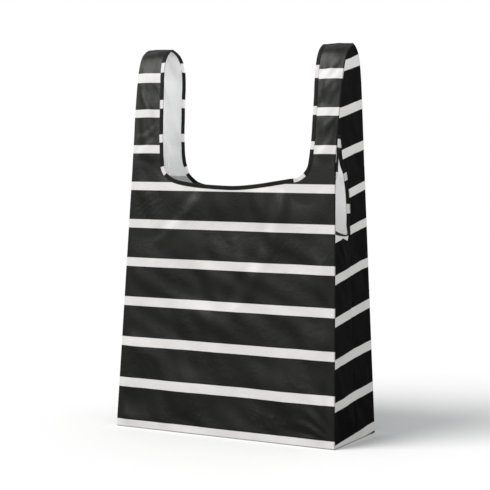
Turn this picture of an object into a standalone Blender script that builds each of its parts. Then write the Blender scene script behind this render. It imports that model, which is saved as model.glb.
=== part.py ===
"""Foldable T-shirt style tote bag, as separate sewn pieces.

Metres, +Z up.  The front face looks towards -Y and +X is on the right of someone
looking at it.  The origin is the centre of the base, on the surface it stands on.

The bag is a tapered gusseted body.  Front and back panels are joined at each
side by a gusset made of two halves with a centre seam, and by a boxed base
made of two halves with a centre crease.  Two strap handles rise from the top
corners; each is a channel of front strap, side fabric and back strap that
closes in an arch.  Above the gusset's centre seam a bound slit stays open.
"""

import math

import bmesh
import bpy
from mathutils import Vector

# Signs of X and Y that pick out a side and a face
RIGHT, LEFT = 1, -1
FRONT, BACK = -1, 1
SIDE_NAMES = {RIGHT: "right", LEFT: "left"}
FACE_NAMES = {FRONT: "front", BACK: "back"}

# ------------------------------------------------------- fabric and clearances
SHEET = 0.0008           # fabric with its hem allowance
BIND = 0.0016            # thickness of the folded binding tape
BIND_W = 0.0065          # width of the binding tape
GAP = 0.0006             # clearance between neighbouring pieces
FOLD = 0.0005            # the fold lines run this far inside the sheets
TUCK = 0.0012            # clearance of the mitred corner folds
OPEN_SEAM = 0.0004       # extra clearance at the left front corner

# Solidify offsets: where the thickness lies relative to the modelled surface
INWARD = -1.0            # all of it inside
MOSTLY_INWARD = -0.75
PARTLY_INWARD = -0.5

# ------------------------------------------------------------------------ body
BASE_HALF_W = 0.197      # half width of the base
BASE_HALF_D = 0.081      # half depth of the base
TAPER_X = 0.034          # the sides lean in by this much per metre of height
TAPER_Y = 0.0535         # the faces lean in by this much per metre of height
HINGE_Z = 0.430          # where the straps leave the panels
BODY_TOP_Z = HINGE_Z - GAP

# -------------------------------------------------------------------- neckline
NECK_Z = 0.398           # lowest point of the neckline
NECK_FLAT = 0.1205       # half width of the neckline's shallow part
NECK_RISE = 0.0125       # rise of the shallow part at NECK_RISE_X from the middle
NECK_RISE_X = 0.115
NECK_RISE_POWER = 1.7
NECK_STEPS = 10          # segments in the shallow part, and again in the corner
ON_AXIS = 1e-6           # points closer than this to the middle are not mirrored

# --------------------------------------------------------------------- handles
ROOT_Z = 0.470           # top of the soft root of each strap
TOP_Z = 0.621            # top of the handles
STRAP_IN = 0.1345        # inner edge of the straps, from the middle
STRAP_FLARE = 0.0035     # the straps' outer edges lean out by this much at the top
ARCH_POWER = 4           # squareness of the arch
ROOT_STEPS = 3
HANDLE_STEPS = 14
SEAM_HALF = 0.0050       # half width of the seam across the top of a handle
SEAM_STEPS = 6
SIDE_TOP_Z = 0.588       # top of a handle's side fabric near its fold line
SIDE_PEAK = 0.004        # extra height of the side fabric at the centre fold
SIDE_HIGH_Z = 0.600      # height at which the straight fold line meets the strap's curve

# -------------------------------------------------------------- slit and gusset
SLIT_BOTTOM_Z = 0.326    # lower end of the open slit in each gusset
SLIT_TOP_Z = 0.459       # upper end of the slit
SLIT_BEND_Z = 0.36       # where the slit starts to curve forward
SLIT_FORWARD = 0.036     # how far forward it has curved at its top
SLIT_POWER = 1.35
SLIT_CUT_Z = SLIT_BOTTOM_Z - 0.002          # lower edge of the front half's cut-out
STRIP_FOOT_Z = SLIT_BOTTOM_Z + 0.010        # where the front strip gets its full height edge
FRONT_BINDING_LOW_Z = SLIT_BOTTOM_Z + 0.012
FRONT_STRIP = 0.0050     # strip of front gusset kept beside the slit
SLIT_BINDING_STEPS = 8
FLAP_LOW_Z = 0.375       # lower end of the flap in front of the centre fold
FLAP_STEPS = 5
SIDE_SLIT_HEIGHTS = (0.440, 0.450, SLIT_TOP_Z)  # stations on the slit's edge above the hinge
TAPE_W = 0.0050          # width of the centre seam tape
TAPE_SHIFT = 0.001       # distance from the centre seam to the tape
TAPE_LOW_Z = BASE_HALF_D + 0.006
TAPE_HIGH_Z = SLIT_BOTTOM_Z - 0.008
TUCK_MARGIN = 0.001      # extra clearance at the ends of the corner tucks

# -------------------------------------------------------------------- material
BLACK = (0.025, 0.025, 0.024, 1.0)
FABRIC_ROUGHNESS = 0.62

PIVOT_DISPLAY_SIZE = 0.02


# ------------------------------------------------------------------ geometry
def sample(start, end, steps):
    """Evenly spaced values from start to end, both included."""
    return [start + (end - start) * i / steps for i in range(steps + 1)]


def side_x(z):
    """Half width of the bag's outer corner at height z."""
    if z <= HINGE_Z:
        return BASE_HALF_W - TAPER_X * z
    rise = (z - HINGE_Z) / (TOP_Z - HINGE_Z)
    return BASE_HALF_W - TAPER_X * HINGE_Z + STRAP_FLARE * rise


def panel_y(z):
    """Half depth at height z; the flat panels' outer faces lie on it."""
    return BASE_HALF_D - TAPER_Y * z


def arch(spread):
    """Half depth and height of a strap's outer face; spread is 1 at its root, 0 at the top."""
    z = HINGE_Z + (TOP_Z - HINGE_Z) * (1.0 - spread ** ARCH_POWER)
    return panel_y(z) * spread, z


def arch_spread(z):
    """The spread at which the arch reaches height z."""
    return (1.0 - (z - HINGE_Z) / (TOP_Z - HINGE_Z)) ** (1 / ARCH_POWER)


def neck_curve():
    """Right half of the opening's edge, from its middle to the strap root, as (x, z)."""
    points = [
        (x, NECK_Z + NECK_RISE * (x / NECK_RISE_X) ** NECK_RISE_POWER)
        for x in sample(0.0, NECK_FLAT, NECK_STEPS)
    ]
    corner_x, corner_z = points[-1]
    for angle in sample(0.0, 0.5 * math.pi, NECK_STEPS)[1:]:
        points.append((
            corner_x + (STRAP_IN - corner_x) * math.sin(angle),
            corner_z + (BODY_TOP_Z - corner_z) * (1.0 - math.cos(angle)),
        ))
    return points


def offset_curve(points, distance):
    """Moves a polyline sideways, to the right of its direction of travel."""
    moved = []
    for i, point in enumerate(points):
        before = Vector(points[max(0, i - 1)])
        after = Vector(points[min(len(points) - 1, i + 1)])
        along = (after - before).normalized()
        moved.append((point[0] + along.y * distance, point[1] - along.x * distance))
    return moved


def neck_offset(distance):
    """The neckline moved into the panel, ending square at the middle and at the strap root."""
    points = offset_curve(neck_curve(), distance)
    points[0] = (0.0, points[0][1])
    end_x = STRAP_IN + distance
    points = [(x, z) for x, z in points if z < BODY_TOP_Z - 1e-5 and x < end_x + 1e-6]
    points.append((end_x, BODY_TOP_Z))
    return points


def with_mirror(right_half):
    """Closes an outline by adding the mirror image of its right half."""
    return right_half + [(-x, z) for x, z in reversed(right_half) if x > ON_AXIS]


def handle_fold_y(z):
    """Half depth of the straight line about which a handle's side fabric folds inward."""
    low = panel_y(HINGE_Z)
    high = panel_y(SIDE_HIGH_Z) * arch_spread(SIDE_HIGH_Z)
    share = (z - HINGE_Z) / (SIDE_HIGH_Z - HINGE_Z)
    return low + (high - low) * share - SHEET - FOLD


def slit_edge_y(z):
    """Y of the fabric edge behind the slit: up the centre seam, then curving forward."""
    if z <= SLIT_BEND_Z:
        return GAP / 2
    rise = (z - SLIT_BEND_Z) / (SLIT_TOP_Z - SLIT_BEND_Z)
    return GAP / 2 - SLIT_FORWARD * rise ** SLIT_POWER


def corner_room(side, face):
    """Clearance of a gusset half from the panel it is folded from."""
    return SHEET + 2 * FOLD + (OPEN_SEAM if (side, face) == (LEFT, FRONT) else 0.0)


def on_face(face):
    """Maps (x, z) onto the front or back face."""
    return lambda x, z: (x, face * panel_y(z), z)


def on_side(side, face, inset=0.0):
    """Maps (distance from the centre seam towards face, z) onto a side of the bag."""
    return lambda depth, z: (side * (side_x(z) - inset), face * depth, z)


def corner_name(side, face):
    return "{}_{}".format(FACE_NAMES[face], SIDE_NAMES[side])


# ------------------------------------------------------------ mesh and scene
def clear_scene():
    for obj in list(bpy.data.objects):
        bpy.data.objects.remove(obj, do_unlink=True)


def make_fabric(name):
    material = bpy.data.materials.new("fabric_" + name)
    material.use_nodes = True
    shader = material.node_tree.nodes["Principled BSDF"]
    shader.inputs["Base Color"].default_value = BLACK
    shader.inputs["Roughness"].default_value = FABRIC_ROUGHNESS
    shader.inputs["Metallic"].default_value = 0.0
    return material


PIVOTS = {}  # body name: (empty, its place in the bag)


def make_pivot(name, location, parent=None):
    """An empty on a joint's axis; every piece of that body hangs from it."""
    empty = bpy.data.objects.new("pivot_" + name, None)
    empty.empty_display_size = PIVOT_DISPLAY_SIZE
    bpy.context.collection.objects.link(empty)
    place = Vector(location)
    if parent:
        parent_empty, parent_place = PIVOTS[parent]
        empty.parent = parent_empty
        empty.location = place - parent_place
    else:
        empty.location = place
    PIVOTS[name] = (empty, place)


def add_piece(name, bm, outward, body, thickness=SHEET, offset=INWARD):
    """Turns a surface to face outward, hangs it from its body's pivot and thickens it."""
    bm.normal_update()
    if sum(face.normal.dot(Vector(outward)) for face in bm.faces) < 0:
        bmesh.ops.reverse_faces(bm, faces=bm.faces)
    empty, place = PIVOTS[body]
    bmesh.ops.translate(bm, verts=bm.verts, vec=-place)
    mesh = bpy.data.meshes.new(name)
    bm.to_mesh(mesh)
    bm.free()
    mesh.materials.append(make_fabric(name))
    obj = bpy.data.objects.new(name, mesh)
    bpy.context.collection.objects.link(obj)
    obj.parent = empty
    solid = obj.modifiers.new("sheet", "SOLIDIFY")
    solid.thickness = thickness
    solid.offset = offset
    solid.use_even_offset = True
    solid.use_quality_normals = True


def flat_sheet(name, outline, place, outward, body, thickness=SHEET, offset=INWARD):
    """A flat cut piece: outline in its own 2-D coordinates, place maps it into the bag."""
    bm = bmesh.new()
    bm.faces.new([bm.verts.new(place(*point)) for point in outline])
    add_piece(name, bm, outward, body, thickness, offset)


def band_sheet(name, rows, outward, body, thickness=SHEET, offset=INWARD):
    """A curved strip of quads between rows of equally many points."""
    bm = bmesh.new()
    grid = [[bm.verts.new(point) for point in row] for row in rows]
    for lower, upper in zip(grid, grid[1:]):
        for i in range(len(lower) - 1):
            bm.faces.new((lower[i], lower[i + 1], upper[i + 1], upper[i]))
    add_piece(name, bm, outward, body, thickness, offset)


# ------------------------------------------------------------ panels and base
def make_panel(face):
    """Front or back panel with its neckline."""
    neck = neck_offset(BIND_W + GAP)
    right_half = [(side_x(0.0), 0.0), (side_x(BODY_TOP_Z), BODY_TOP_Z)] + neck[::-1]
    name = FACE_NAMES[face]
    flat_sheet(name + "_panel", with_mirror(right_half), on_face(face), (0, face, 0), name)


def make_neck_binding(face):
    """Tape along the whole neckline of one panel."""
    right_half = neck_curve() + neck_offset(BIND_W)[::-1]
    name = FACE_NAMES[face]
    flat_sheet("neck_binding_" + name, with_mirror(right_half), on_face(face),
               (0, face, 0), name, BIND, PARTLY_INWARD)


def make_base_half(face):
    """Half of the boxed base, mitred where the corner folds begin."""
    outer_y = BASE_HALF_D - SHEET - 2 * FOLD
    crease_y = GAP / 2
    corner_x = BASE_HALF_W - SHEET - TUCK
    outer_x = corner_x - (BASE_HALF_D - outer_y)
    crease_x = corner_x - (BASE_HALF_D - crease_y)
    outline = [(outer_x, outer_y), (crease_x, crease_y),
               (-crease_x, crease_y), (-outer_x, outer_y)]
    name = FACE_NAMES[face]
    flat_sheet("base_{}_half".format(name), outline, lambda x, y: (x, face * y, 0.0),
               (0, 0, -1), "base_" + name)


def make_corner_tuck(side):
    """The fold between gusset and base: one triangle up the side and one under the base."""
    reach = BASE_HALF_D - SHEET - GAP - TUCK_MARGIN
    tip = panel_y(BASE_HALF_D)
    bm = bmesh.new()
    front = bm.verts.new((side * side_x(0.0), -reach, 0.0))
    back = bm.verts.new((side * side_x(0.0), reach, 0.0))
    up = bm.verts.new((side * side_x(tip), 0.0, tip))
    under = bm.verts.new((side * (BASE_HALF_W - tip), 0.0, 0.0))
    bm.faces.new((front, back, up))
    bm.faces.new((back, front, under))
    add_piece("corner_tuck_" + SIDE_NAMES[side], bm, (side, 0, 0), "back")


# ------------------------------------------------------------ gussets and slits
def make_gusset_half(side, face):
    """Half of a side gusset, mitred at the bottom; the front half is cut back at the slit."""
    room = corner_room(side, face)

    def at_corner(z):
        return panel_y(z) - room

    low = TUCK + room + GAP
    seam = GAP / 2
    outline = [(at_corner(low), low), (seam, TUCK + panel_y(BASE_HALF_D))]
    if face == BACK:
        outline.append((seam, BODY_TOP_Z))
    else:
        strip_foot = at_corner(STRIP_FOOT_Z) - FRONT_STRIP
        outline += [
            (seam, SLIT_CUT_Z),
            (strip_foot - BIND_W - GAP, SLIT_CUT_Z),
            (strip_foot, STRIP_FOOT_Z),
            (at_corner(BODY_TOP_Z) - FRONT_STRIP, BODY_TOP_Z),
        ]
    outline.append((at_corner(BODY_TOP_Z), BODY_TOP_Z))
    body = "gusset_{}_{}".format(SIDE_NAMES[side], FACE_NAMES[face])
    flat_sheet(body + "_half", outline, on_side(side, face), (side, 0, 0), body)


def make_slit_binding(side, face):
    """Tape along the slit's front or back edge; both tapes hang from the front gusset half."""
    if face == BACK:
        low, offset = SLIT_BOTTOM_Z, INWARD
    else:
        low, offset = FRONT_BINDING_LOW_Z, MOSTLY_INWARD
    fabric_edge, free_edge = [], []
    place = on_side(side, face)
    for z in sample(low, BODY_TOP_Z, SLIT_BINDING_STEPS):
        if face == BACK:
            edge = slit_edge_y(z) - GAP
        else:
            edge = panel_y(z) - corner_room(side, face) - FRONT_STRIP - GAP
        fabric_edge.append(place(edge, z))
        free_edge.append(place(edge - BIND_W, z))
    band_sheet("slit_binding_{}_{}".format(SIDE_NAMES[side], FACE_NAMES[face]),
               [fabric_edge, free_edge], (side, 0, 0),
               "gusset_{}_front".format(SIDE_NAMES[side]), BIND, offset)


def make_slit_flap(side):
    """Side fabric in front of the centre fold, between it and the slit's back binding."""
    outline = [(-GAP / 2, FLAP_LOW_Z), (-GAP / 2, BODY_TOP_Z)]
    outline += [(slit_edge_y(z), z) for z in sample(BODY_TOP_Z, FLAP_LOW_Z, FLAP_STEPS)]
    flat_sheet("slit_flap_" + SIDE_NAMES[side], outline, on_side(side, BACK),
               (side, 0, 0), "gusset_{}_front".format(SIDE_NAMES[side]))


def make_seam_tape(side):
    """Tape beside the centre seam, on the inner face of the gusset's back half."""
    near, far = TAPE_SHIFT, TAPE_SHIFT + TAPE_W
    outline = [(near, TAPE_LOW_Z), (far, TAPE_LOW_Z), (far, TAPE_HIGH_Z), (near, TAPE_HIGH_Z)]
    flat_sheet("centre_seam_tape_" + SIDE_NAMES[side], outline,
               on_side(side, BACK, inset=SHEET + GAP),
               (side, 0, 0), "gusset_{}_back".format(SIDE_NAMES[side]))


# --------------------------------------------------------------------- handles
def make_bound_strap(side, face, spreads, outward, body, strap, binding):
    """A stretch of strap along the arch, with tape on its inner edge."""
    strap_rows, binding_rows = [], []
    for spread in spreads:
        depth, z = arch(spread)
        y = face * depth
        tape_x = STRAP_IN + BIND_W
        strap_rows.append([(side * (tape_x + GAP), y, z), (side * side_x(z), y, z)])
        binding_rows.append([(side * STRAP_IN, y, z), (side * tape_x, y, z)])
    where = corner_name(side, face)
    band_sheet(strap + where, strap_rows, outward, body + where)
    band_sheet(binding + where, binding_rows, outward, body + where, BIND, PARTLY_INWARD)


def make_strap_root(side, face):
    """The soft foot of a strap, between the panel and the stiffer strap above."""
    spreads = sample(arch_spread(HINGE_Z + GAP), arch_spread(ROOT_Z - GAP), ROOT_STEPS)
    make_bound_strap(side, face, spreads, (0, face, 0), body="strap_root_",
                     strap="strap_root_", binding="strap_root_binding_")


def make_handle_half(side, face):
    """Upper strap: half of the handle's arch, up to the top seam."""
    spreads = sample(arch_spread(ROOT_Z), SEAM_HALF / panel_y(TOP_Z), HANDLE_STEPS)
    make_bound_strap(side, face, spreads, (0, face, 1), body="handle_",
                     strap="handle_strap_", binding="handle_binding_")


def make_handle_side(side, face):
    """Half of a handle's side fabric, from its fold line to the centre fold."""
    base = HINGE_Z + GAP
    outline = [(GAP / 2, base)]
    if face == BACK:
        outline.append((handle_fold_y(base) - FOLD, base))
    else:
        outline += [(-slit_edge_y(z), z) for z in (base, *SIDE_SLIT_HEIGHTS)]
        outline.append((handle_fold_y(SLIT_TOP_Z) - FOLD, SLIT_TOP_Z))
    outline.append((handle_fold_y(SIDE_TOP_Z) - FOLD, SIDE_TOP_Z))
    outline.append((GAP / 2, SIDE_TOP_Z + SIDE_PEAK))
    name = "handle_side_" + corner_name(side, face)
    flat_sheet(name, outline, on_side(side, face), (side, 0, 0), name)


def make_top_seam(side):
    """The seam that joins front and back strap across the top of a handle."""
    end_spread = (SEAM_HALF - GAP) / panel_y(TOP_Z)
    rows = []
    for across in sample(-1.0, 1.0, SEAM_STEPS):
        depth, z = arch(abs(across) * end_spread)
        y = math.copysign(depth, across)
        rows.append([(side * STRAP_IN, y, z), (side * side_x(z), y, z)])
    band_sheet("handle_top_seam_" + SIDE_NAMES[side], rows, (0, 0, 1),
               "handle_" + corner_name(side, BACK))


# ---------------------------------------------------------------------- joints
def make_body_pivots():
    """The back is the root; the front hangs from it through the right gusset."""
    fold_x = BASE_HALF_W - SHEET
    fold_y = BASE_HALF_D - SHEET - FOLD
    make_pivot("back", (0, 0, 0))
    for side in (RIGHT, LEFT):
        gusset = "gusset_" + SIDE_NAMES[side]
        make_pivot(gusset + "_back", (side * fold_x, fold_y, 0), "back")
        make_pivot(gusset + "_front", (side * BASE_HALF_W, 0, 0), gusset + "_back")
    make_pivot("front", (fold_x, -fold_y, 0), "gusset_right_front")
    make_pivot("base_back", (0, fold_y, SHEET), "back")
    make_pivot("base_front", (0, -fold_y, SHEET), "front")


def make_handle_pivots(side, face):
    """Panel to strap root to handle to side fabric, at one top corner."""
    where = corner_name(side, face)
    outer_x = side_x(HINGE_Z)
    root_y = face * panel_y(HINGE_Z)
    make_pivot("strap_root_" + where, (side * 0.5 * (STRAP_IN + outer_x), root_y, HINGE_Z),
               FACE_NAMES[face])
    make_pivot("handle_" + where, (side * outer_x, root_y, HINGE_Z + 2 * GAP),
               "strap_root_" + where)
    make_pivot("handle_side_" + where,
               (side * (outer_x - SHEET), face * handle_fold_y(HINGE_Z), HINGE_Z),
               "handle_" + where)


def main():
    clear_scene()
    make_body_pivots()
    for side in (RIGHT, LEFT):
        for face in (FRONT, BACK):
            make_handle_pivots(side, face)

    for face in (FRONT, BACK):
        make_panel(face)
        make_neck_binding(face)
        make_base_half(face)
    for side in (RIGHT, LEFT):
        make_corner_tuck(side)
        make_seam_tape(side)
        make_slit_flap(side)
        make_top_seam(side)
        for face in (FRONT, BACK):
            make_gusset_half(side, face)
            make_slit_binding(side, face)
            make_strap_root(side, face)
            make_handle_half(side, face)
            make_handle_side(side, face)


main()
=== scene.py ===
"""Foldable tote bag: sewn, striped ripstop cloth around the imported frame.

The bag stands on z = 0, centred on x = y = 0. The front panel faces -y, the back +y, and the
narrow side panels (gussets) face +x (right) and -x (left). Each panel carries on upward in
two straps, which meet the straps of the other panel at the ridges over y = 0. A bound slit is
cut in the front half of each side. Lengths are in metres, angles in radians unless named.
"""
import math

import bpy
import numpy as np
from mathutils import Matrix, Vector


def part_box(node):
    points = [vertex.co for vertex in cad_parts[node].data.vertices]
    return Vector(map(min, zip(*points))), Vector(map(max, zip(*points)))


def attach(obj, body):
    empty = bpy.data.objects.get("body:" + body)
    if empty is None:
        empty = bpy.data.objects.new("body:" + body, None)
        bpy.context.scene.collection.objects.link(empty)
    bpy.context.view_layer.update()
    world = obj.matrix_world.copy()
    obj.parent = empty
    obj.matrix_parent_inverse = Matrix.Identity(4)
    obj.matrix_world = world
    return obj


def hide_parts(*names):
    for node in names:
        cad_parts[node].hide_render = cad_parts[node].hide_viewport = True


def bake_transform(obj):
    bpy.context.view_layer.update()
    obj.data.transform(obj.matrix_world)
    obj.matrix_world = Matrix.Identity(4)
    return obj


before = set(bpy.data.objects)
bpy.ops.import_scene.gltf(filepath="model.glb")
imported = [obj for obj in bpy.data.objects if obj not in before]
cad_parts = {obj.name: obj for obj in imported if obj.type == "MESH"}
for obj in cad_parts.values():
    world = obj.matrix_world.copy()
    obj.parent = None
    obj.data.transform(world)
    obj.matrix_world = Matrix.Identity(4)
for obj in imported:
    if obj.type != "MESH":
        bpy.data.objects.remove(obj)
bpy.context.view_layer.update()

# ------------------------------------------------------------ driving sizes
panel_low, panel_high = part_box("front_panel")
HALF_WIDTH = float(panel_high.x)          # at the base
HALF_DEPTH = float(-panel_low.y)          # at the base
HINGE_Z = float(panel_high.z) + 0.0006    # where the straps leave the panels
TOP_Z = float(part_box("handle_top_seam_right")[1].z)
WIDTH_TAPER = 0.034                       # half width lost per metre of height
DEPTH_TAPER = 0.0535                      # half depth lost per metre of height
STRAP_FLARE = 0.0035                      # half width gained over the straps' rise
STRAP_RISE = 0.191
CUT_Z = 0.412                             # the panels' own cloth ends here beside the neckline
PIVOT_Z = HINGE_Z + 0.001                 # cloth pieces are parted here
CLOTH = 0.0005                            # thickness
ROLL = 0.0016                             # radius of the folded corners
TAPE_WIDTH = 0.0062
NECK_LAP = 0.0008                         # how far cloth reaches under or past its tape
SLIT_LAP = 0.0010
STRIP_LAP = 0.0006
SIGN = {"right": 1.0, "left": -1.0, "back": 1.0, "front": -1.0}
# distances in from a folded edge
EDGE_STEPS = ROLL * np.array([0.0, 0.03, 0.12, 0.29, 0.55, 0.80])


# ------------------------------------------------------------ maths helpers
def smooth(low, high, value):
    """0 below low, 1 above high, smooth between."""
    share = np.clip((np.asarray(value, float) - low) / (high - low), 0, 1)
    return share * share * (3 - 2 * share)


def unit(vectors):
    return vectors / np.maximum(np.linalg.norm(vectors, axis=-1, keepdims=True), 1e-12)


def dot(first, second):
    return (first * second).sum(1)


def arc_length(points):
    """Distance travelled at each point of a path."""
    steps = np.linalg.norm(np.diff(points, axis=0), axis=1)
    return np.concatenate([[0], np.cumsum(steps)])


def interp_columns(at, stations, table):
    return np.stack([np.interp(at, stations, column) for column in table.T], 1)


def hermite(share, span, start, end, start_slope, end_slope):
    return ((1 + 2 * share) * (1 - share) ** 2 * start
            + share * (1 - share) ** 2 * span * start_slope
            + share * share * (3 - 2 * share) * end
            + share * share * (share - 1) * span * end_slope)


def monotone_cubic(stations, values, at):
    """Shape-keeping cubic through values at rising stations."""
    stations, values, at = (np.asarray(a, float) for a in (stations, values, at))
    span = np.diff(stations)
    rise = np.diff(values) / span
    slope = np.zeros(len(stations))
    slope[0], slope[-1] = rise[0], rise[-1]
    for i in range(1, len(stations) - 1):
        if rise[i - 1] * rise[i] > 0:
            before = 2 * span[i] + span[i - 1]
            after = span[i] + 2 * span[i - 1]
            slope[i] = (before + after) / (before / rise[i - 1] + after / rise[i])
    i = np.clip(np.searchsorted(stations, at) - 1, 0, len(stations) - 2)
    share = np.clip((at - stations[i]) / span[i], 0, 1)
    return hermite(share, span[i], values[i], values[i + 1], slope[i], slope[i + 1])


def smooth_path(points, step):
    """Smooth path through points, resampled at an even step."""
    points = np.asarray(points, float)
    arc = arc_length(points)
    slope = np.zeros_like(points)
    for i in range(len(points)):
        before, after = max(0, i - 1), min(len(points) - 1, i + 1)
        slope[i] = (points[after] - points[before]) / (arc[after] - arc[before])
    fine = np.linspace(0, arc[-1], 1500)
    i = np.clip(np.searchsorted(arc, fine) - 1, 0, len(arc) - 2)
    span = (arc[i + 1] - arc[i])[:, None]
    share = (fine - arc[i])[:, None] / span
    curve = hermite(share, span, points[i], points[i + 1], slope[i], slope[i + 1])
    curve_arc = arc_length(curve)
    count = max(2, int(round(curve_arc[-1] / step)) + 1)
    even = np.linspace(0, curve_arc[-1], count)
    return interp_columns(even, curve_arc, curve), even


class Waves:
    """Seeded band-limited noise: a sum of plane waves, about -1 to 1."""

    def __init__(self, seed, length, angle=0.0, fan=3.1416):
        """Waves of about this length, their directions within a fan about an angle."""
        count, spread = 14, 0.5
        rng = np.random.default_rng(seed)
        lengths = length * np.exp(rng.uniform(-spread, spread, count))
        angles = rng.uniform(-0.5, 0.5, count) * fan + angle
        self.rates_across = 2 * math.pi / lengths * np.cos(angles)
        self.rates_along = 2 * math.pi / lengths * np.sin(angles)
        self.phases = rng.uniform(0, 2 * math.pi, count)
        self.size = 1.4 / math.sqrt(count)

    def __call__(self, across, along):
        across, along = np.asarray(across, float), np.asarray(along, float)
        total = np.zeros(np.broadcast(across, along).shape)
        for rate_across, rate_along, phase in zip(self.rates_across, self.rates_along,
                                                  self.phases):
            total = total + np.sin(rate_across * across + rate_along * along + phase)
        return total * self.size


def ridged(noise):
    """Turns smooth noise into sharp little ridges."""
    return 1 - 2 * np.sqrt(np.clip(noise, -1, 1) ** 2 + 0.05)


def hump(across, along, centre, size):
    return np.exp(-((across - centre[0]) / size[0]) ** 2 - ((along - centre[1]) / size[1]) ** 2)


def line_distance(across, along, points):
    """Signed distance to a polyline (positive to the right of its travel) and share along it.

    The first and last segments count as endless.
    """
    points = np.asarray(points, float)
    lengths = np.linalg.norm(np.diff(points, axis=0), axis=1)
    nearest = np.full(np.broadcast(across, along).shape, 1e9)
    signed = np.zeros_like(nearest)
    share = np.zeros_like(nearest)
    done = 0.0
    for i, length in enumerate(lengths):
        start = points[i]
        travel = (points[i + 1] - start) / length
        reach = (across - start[0]) * travel[0] + (along - start[1]) * travel[1]
        if i > 0:
            reach = np.maximum(reach, 0)
        if i < len(lengths) - 1:
            reach = np.minimum(reach, length)
        off_across = across - start[0] - reach * travel[0]
        off_along = along - start[1] - reach * travel[1]
        distance = np.hypot(off_across, off_along)
        turn = travel[0] * off_along - travel[1] * off_across
        nearer = distance < nearest
        nearest = np.where(nearer, distance, nearest)
        signed = np.where(nearer, -np.sign(turn) * distance, signed)
        share = np.where(nearer, (done + reach) / lengths.sum(), share)
        done += length
    return signed, share


# ------------------------------------------------------------ outline of the bag
# side view of a strap's outer face: half depth and height, from the hinge to the ridge
PROFILE_Y = [0.0580, 0.0557, 0.0513, 0.0469, 0.0429, 0.0403, 0.0355, 0.0318, 0.0280, 0.0237,
             0.0188, 0.0137, 0.0087, 0.0040, 0.0]
PROFILE_Z = [HINGE_Z, 0.4500, 0.4800, 0.5100, 0.5350, 0.5500, 0.5735, 0.5865, 0.5962, 0.6038,
             0.6098, 0.6140, 0.6172, 0.6195, TOP_Z - 0.0004]
profile_arc = arc_length(np.column_stack([PROFILE_Y, PROFILE_Z]))
STRAP_LENGTH = float(profile_arc[-1])
fine_length = np.linspace(0, STRAP_LENGTH, 900)
fine_y = monotone_cubic(profile_arc, PROFILE_Y, fine_length)
fine_z = monotone_cubic(profile_arc, PROFILE_Z, fine_length)

# inner (bound) edges of the straps: heights, then distances from the middle
INNER_EDGE = {
    "front_left": (
        [0.4298, 0.4464, 0.4870, 0.5362, 0.5691, 0.5980, 0.6212],
        [0.1221, 0.1240, 0.1289, 0.1324, 0.1358, 0.1388, 0.1402]),
    "front_right": (
        [0.4298, 0.4421, 0.4550, 0.4742, 0.5243, 0.5834, 0.6043, 0.6212],
        [0.1364, 0.1379, 0.1388, 0.1396, 0.1390, 0.1362, 0.1356, 0.1342]),
    "back_left": (
        [0.4268, 0.4364, 0.4520, 0.4676, 0.4952, 0.5260, 0.5416, 0.5720, 0.5868, 0.6004,
         0.6076, 0.6128, 0.6176, 0.6212],
        [0.1458, 0.1480, 0.1488, 0.1483, 0.1461, 0.1428, 0.1407, 0.1367, 0.1354, 0.1354,
         0.1360, 0.1370, 0.1388, 0.1402]),
    "back_right": (
        [0.4268, 0.4364, 0.4520, 0.4676, 0.4952, 0.5260, 0.5720, 0.6004, 0.6128, 0.6212],
        [0.1072, 0.1086, 0.1108, 0.1130, 0.1166, 0.1204, 0.1262, 0.1302, 0.1322, 0.1342]),
}
# how far the outer edges stand out from the straight side, by height
OUTER_Z = [0.0, 0.40, 0.46, 0.508, 0.55, 0.59, 0.6212]
OUTER_SHIFT = {
    "left": [0.0, 0.0, 0.0, 0.0010, 0.0014, 0.0019, 0.0036],
    "right": [0.0, 0.0, -0.0006, -0.0010, -0.0012, -0.0012, 0.0],
}

# the opening's edge between the straps, left to right, (x, z)
FRONT_NECK = [
    (-0.1240, 0.4464), (-0.1221, 0.4298), (-0.1192, 0.4214), (-0.1143, 0.4154),
    (-0.1070, 0.4106), (-0.0986, 0.4069), (-0.0794, 0.4031), (-0.0604, 0.4008),
    (-0.0416, 0.3995), (-0.0136, 0.3982), (0.0110, 0.3979), (0.0370, 0.3998),
    (0.0597, 0.4027), (0.0820, 0.4063), (0.1013, 0.4094), (0.1190, 0.4126),
    (0.1300, 0.4199), (0.1345, 0.4262), (0.1364, 0.4310), (0.1379, 0.4421)]
BACK_NECK = [
    (-0.1486, 0.4464), (-0.1480, 0.4364), (-0.1455, 0.4258), (-0.1418, 0.4152),
    (-0.1334, 0.4068), (-0.1245, 0.4012), (-0.1060, 0.3966), (-0.0800, 0.3938),
    (-0.0400, 0.3920), (0.0000, 0.3914), (0.0350, 0.3920), (0.0620, 0.3944),
    (0.0820, 0.3990), (0.0950, 0.4055), (0.1022, 0.4130), (0.1056, 0.4210),
    (0.1072, 0.4268), (0.1086, 0.4364), (0.1100, 0.4464)]
NECKS = {"front": smooth_path(FRONT_NECK, 0.0008)[0], "back": smooth_path(BACK_NECK, 0.0008)[0]}
NECK_CORNER_X = 0.08                      # the rounded corners begin beyond this
NECK_CORNER_Z = 0.4020


def side_x(z):
    """Half width at height z."""
    z = np.asarray(z, float)
    straight = HALF_WIDTH - WIDTH_TAPER * z
    flared = HALF_WIDTH - WIDTH_TAPER * HINGE_Z + STRAP_FLARE * (z - HINGE_Z) / STRAP_RISE
    return np.where(z <= HINGE_Z, straight, flared)


def panel_y(z):
    """Half depth at height z, up to the hinge."""
    return HALF_DEPTH - DEPTH_TAPER * np.asarray(z, float)


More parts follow.
